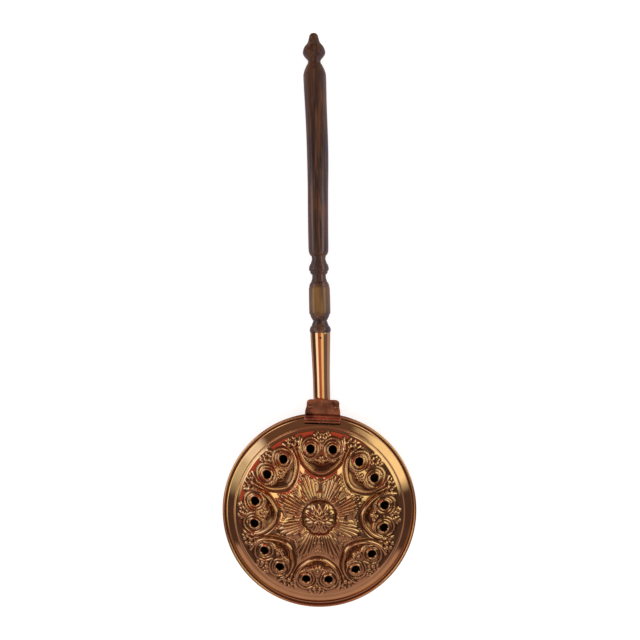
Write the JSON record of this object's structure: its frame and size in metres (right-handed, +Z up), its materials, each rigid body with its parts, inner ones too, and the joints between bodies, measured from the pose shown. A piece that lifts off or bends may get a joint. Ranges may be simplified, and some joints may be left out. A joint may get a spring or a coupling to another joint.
{
  "type": "bed warming pan",
  "caption": "Shallow round copper pan with a hinged, pierced and embossed lid and a long turned wooden handle, for carrying hot embers under bedding or hanging as decoration.",
  "frame": {"origin": "middle of the pan's flat base, on the surface that it stands on", "axes": "+Z up through the lid, +Y from the pan's middle through the hinge towards the handle, +X to the right when seen from above with the handle pointing away"},
  "size_m": [0.27, 0.808, 0.1039],
  "materials": {
    "pan_copper": "polished copper with a light brown tarnish",
    "lid_copper": "polished, stamped copper with tarnish in the low places",
    "hinge_copper": "darkened copper",
    "ferrule_copper": "bright polished copper",
    "rivet_copper": "worn copper",
    "rim_wire": "plain drawn iron wire",
    "fixing_steel": "plain steel",
    "turned_wood": "dark brown stain under a semi-gloss varnish"
  },
  "bodies": {
    "pan": {"pan_bowl": "pan_copper", "pan_rim_wire": "rim_wire", "hinge_strap": "hinge_copper", "hinge_rivets": "rivet_copper", "handle_bracket": "hinge_copper", "wall_rivets": "rivet_copper", "backing_plate": "fixing_steel", "handle_screw": "fixing_steel", "ferrule": "ferrule_copper", "ferrule_brad": "hinge_copper", "wood_handle": "turned_wood"},
    "lid": {"lid": "lid_copper", "lid_rim_wire": "rim_wire", "hinge_pin": "rim_wire"}
  },
  "joints": [
    {"name": "lid_hinge", "type": "hinge", "parent": "pan", "child": "lid", "pos_m": [0, 0.13013, 0.0604], "axis": [-1, 0, 0], "range_deg": [0, 150]}
  ]
}
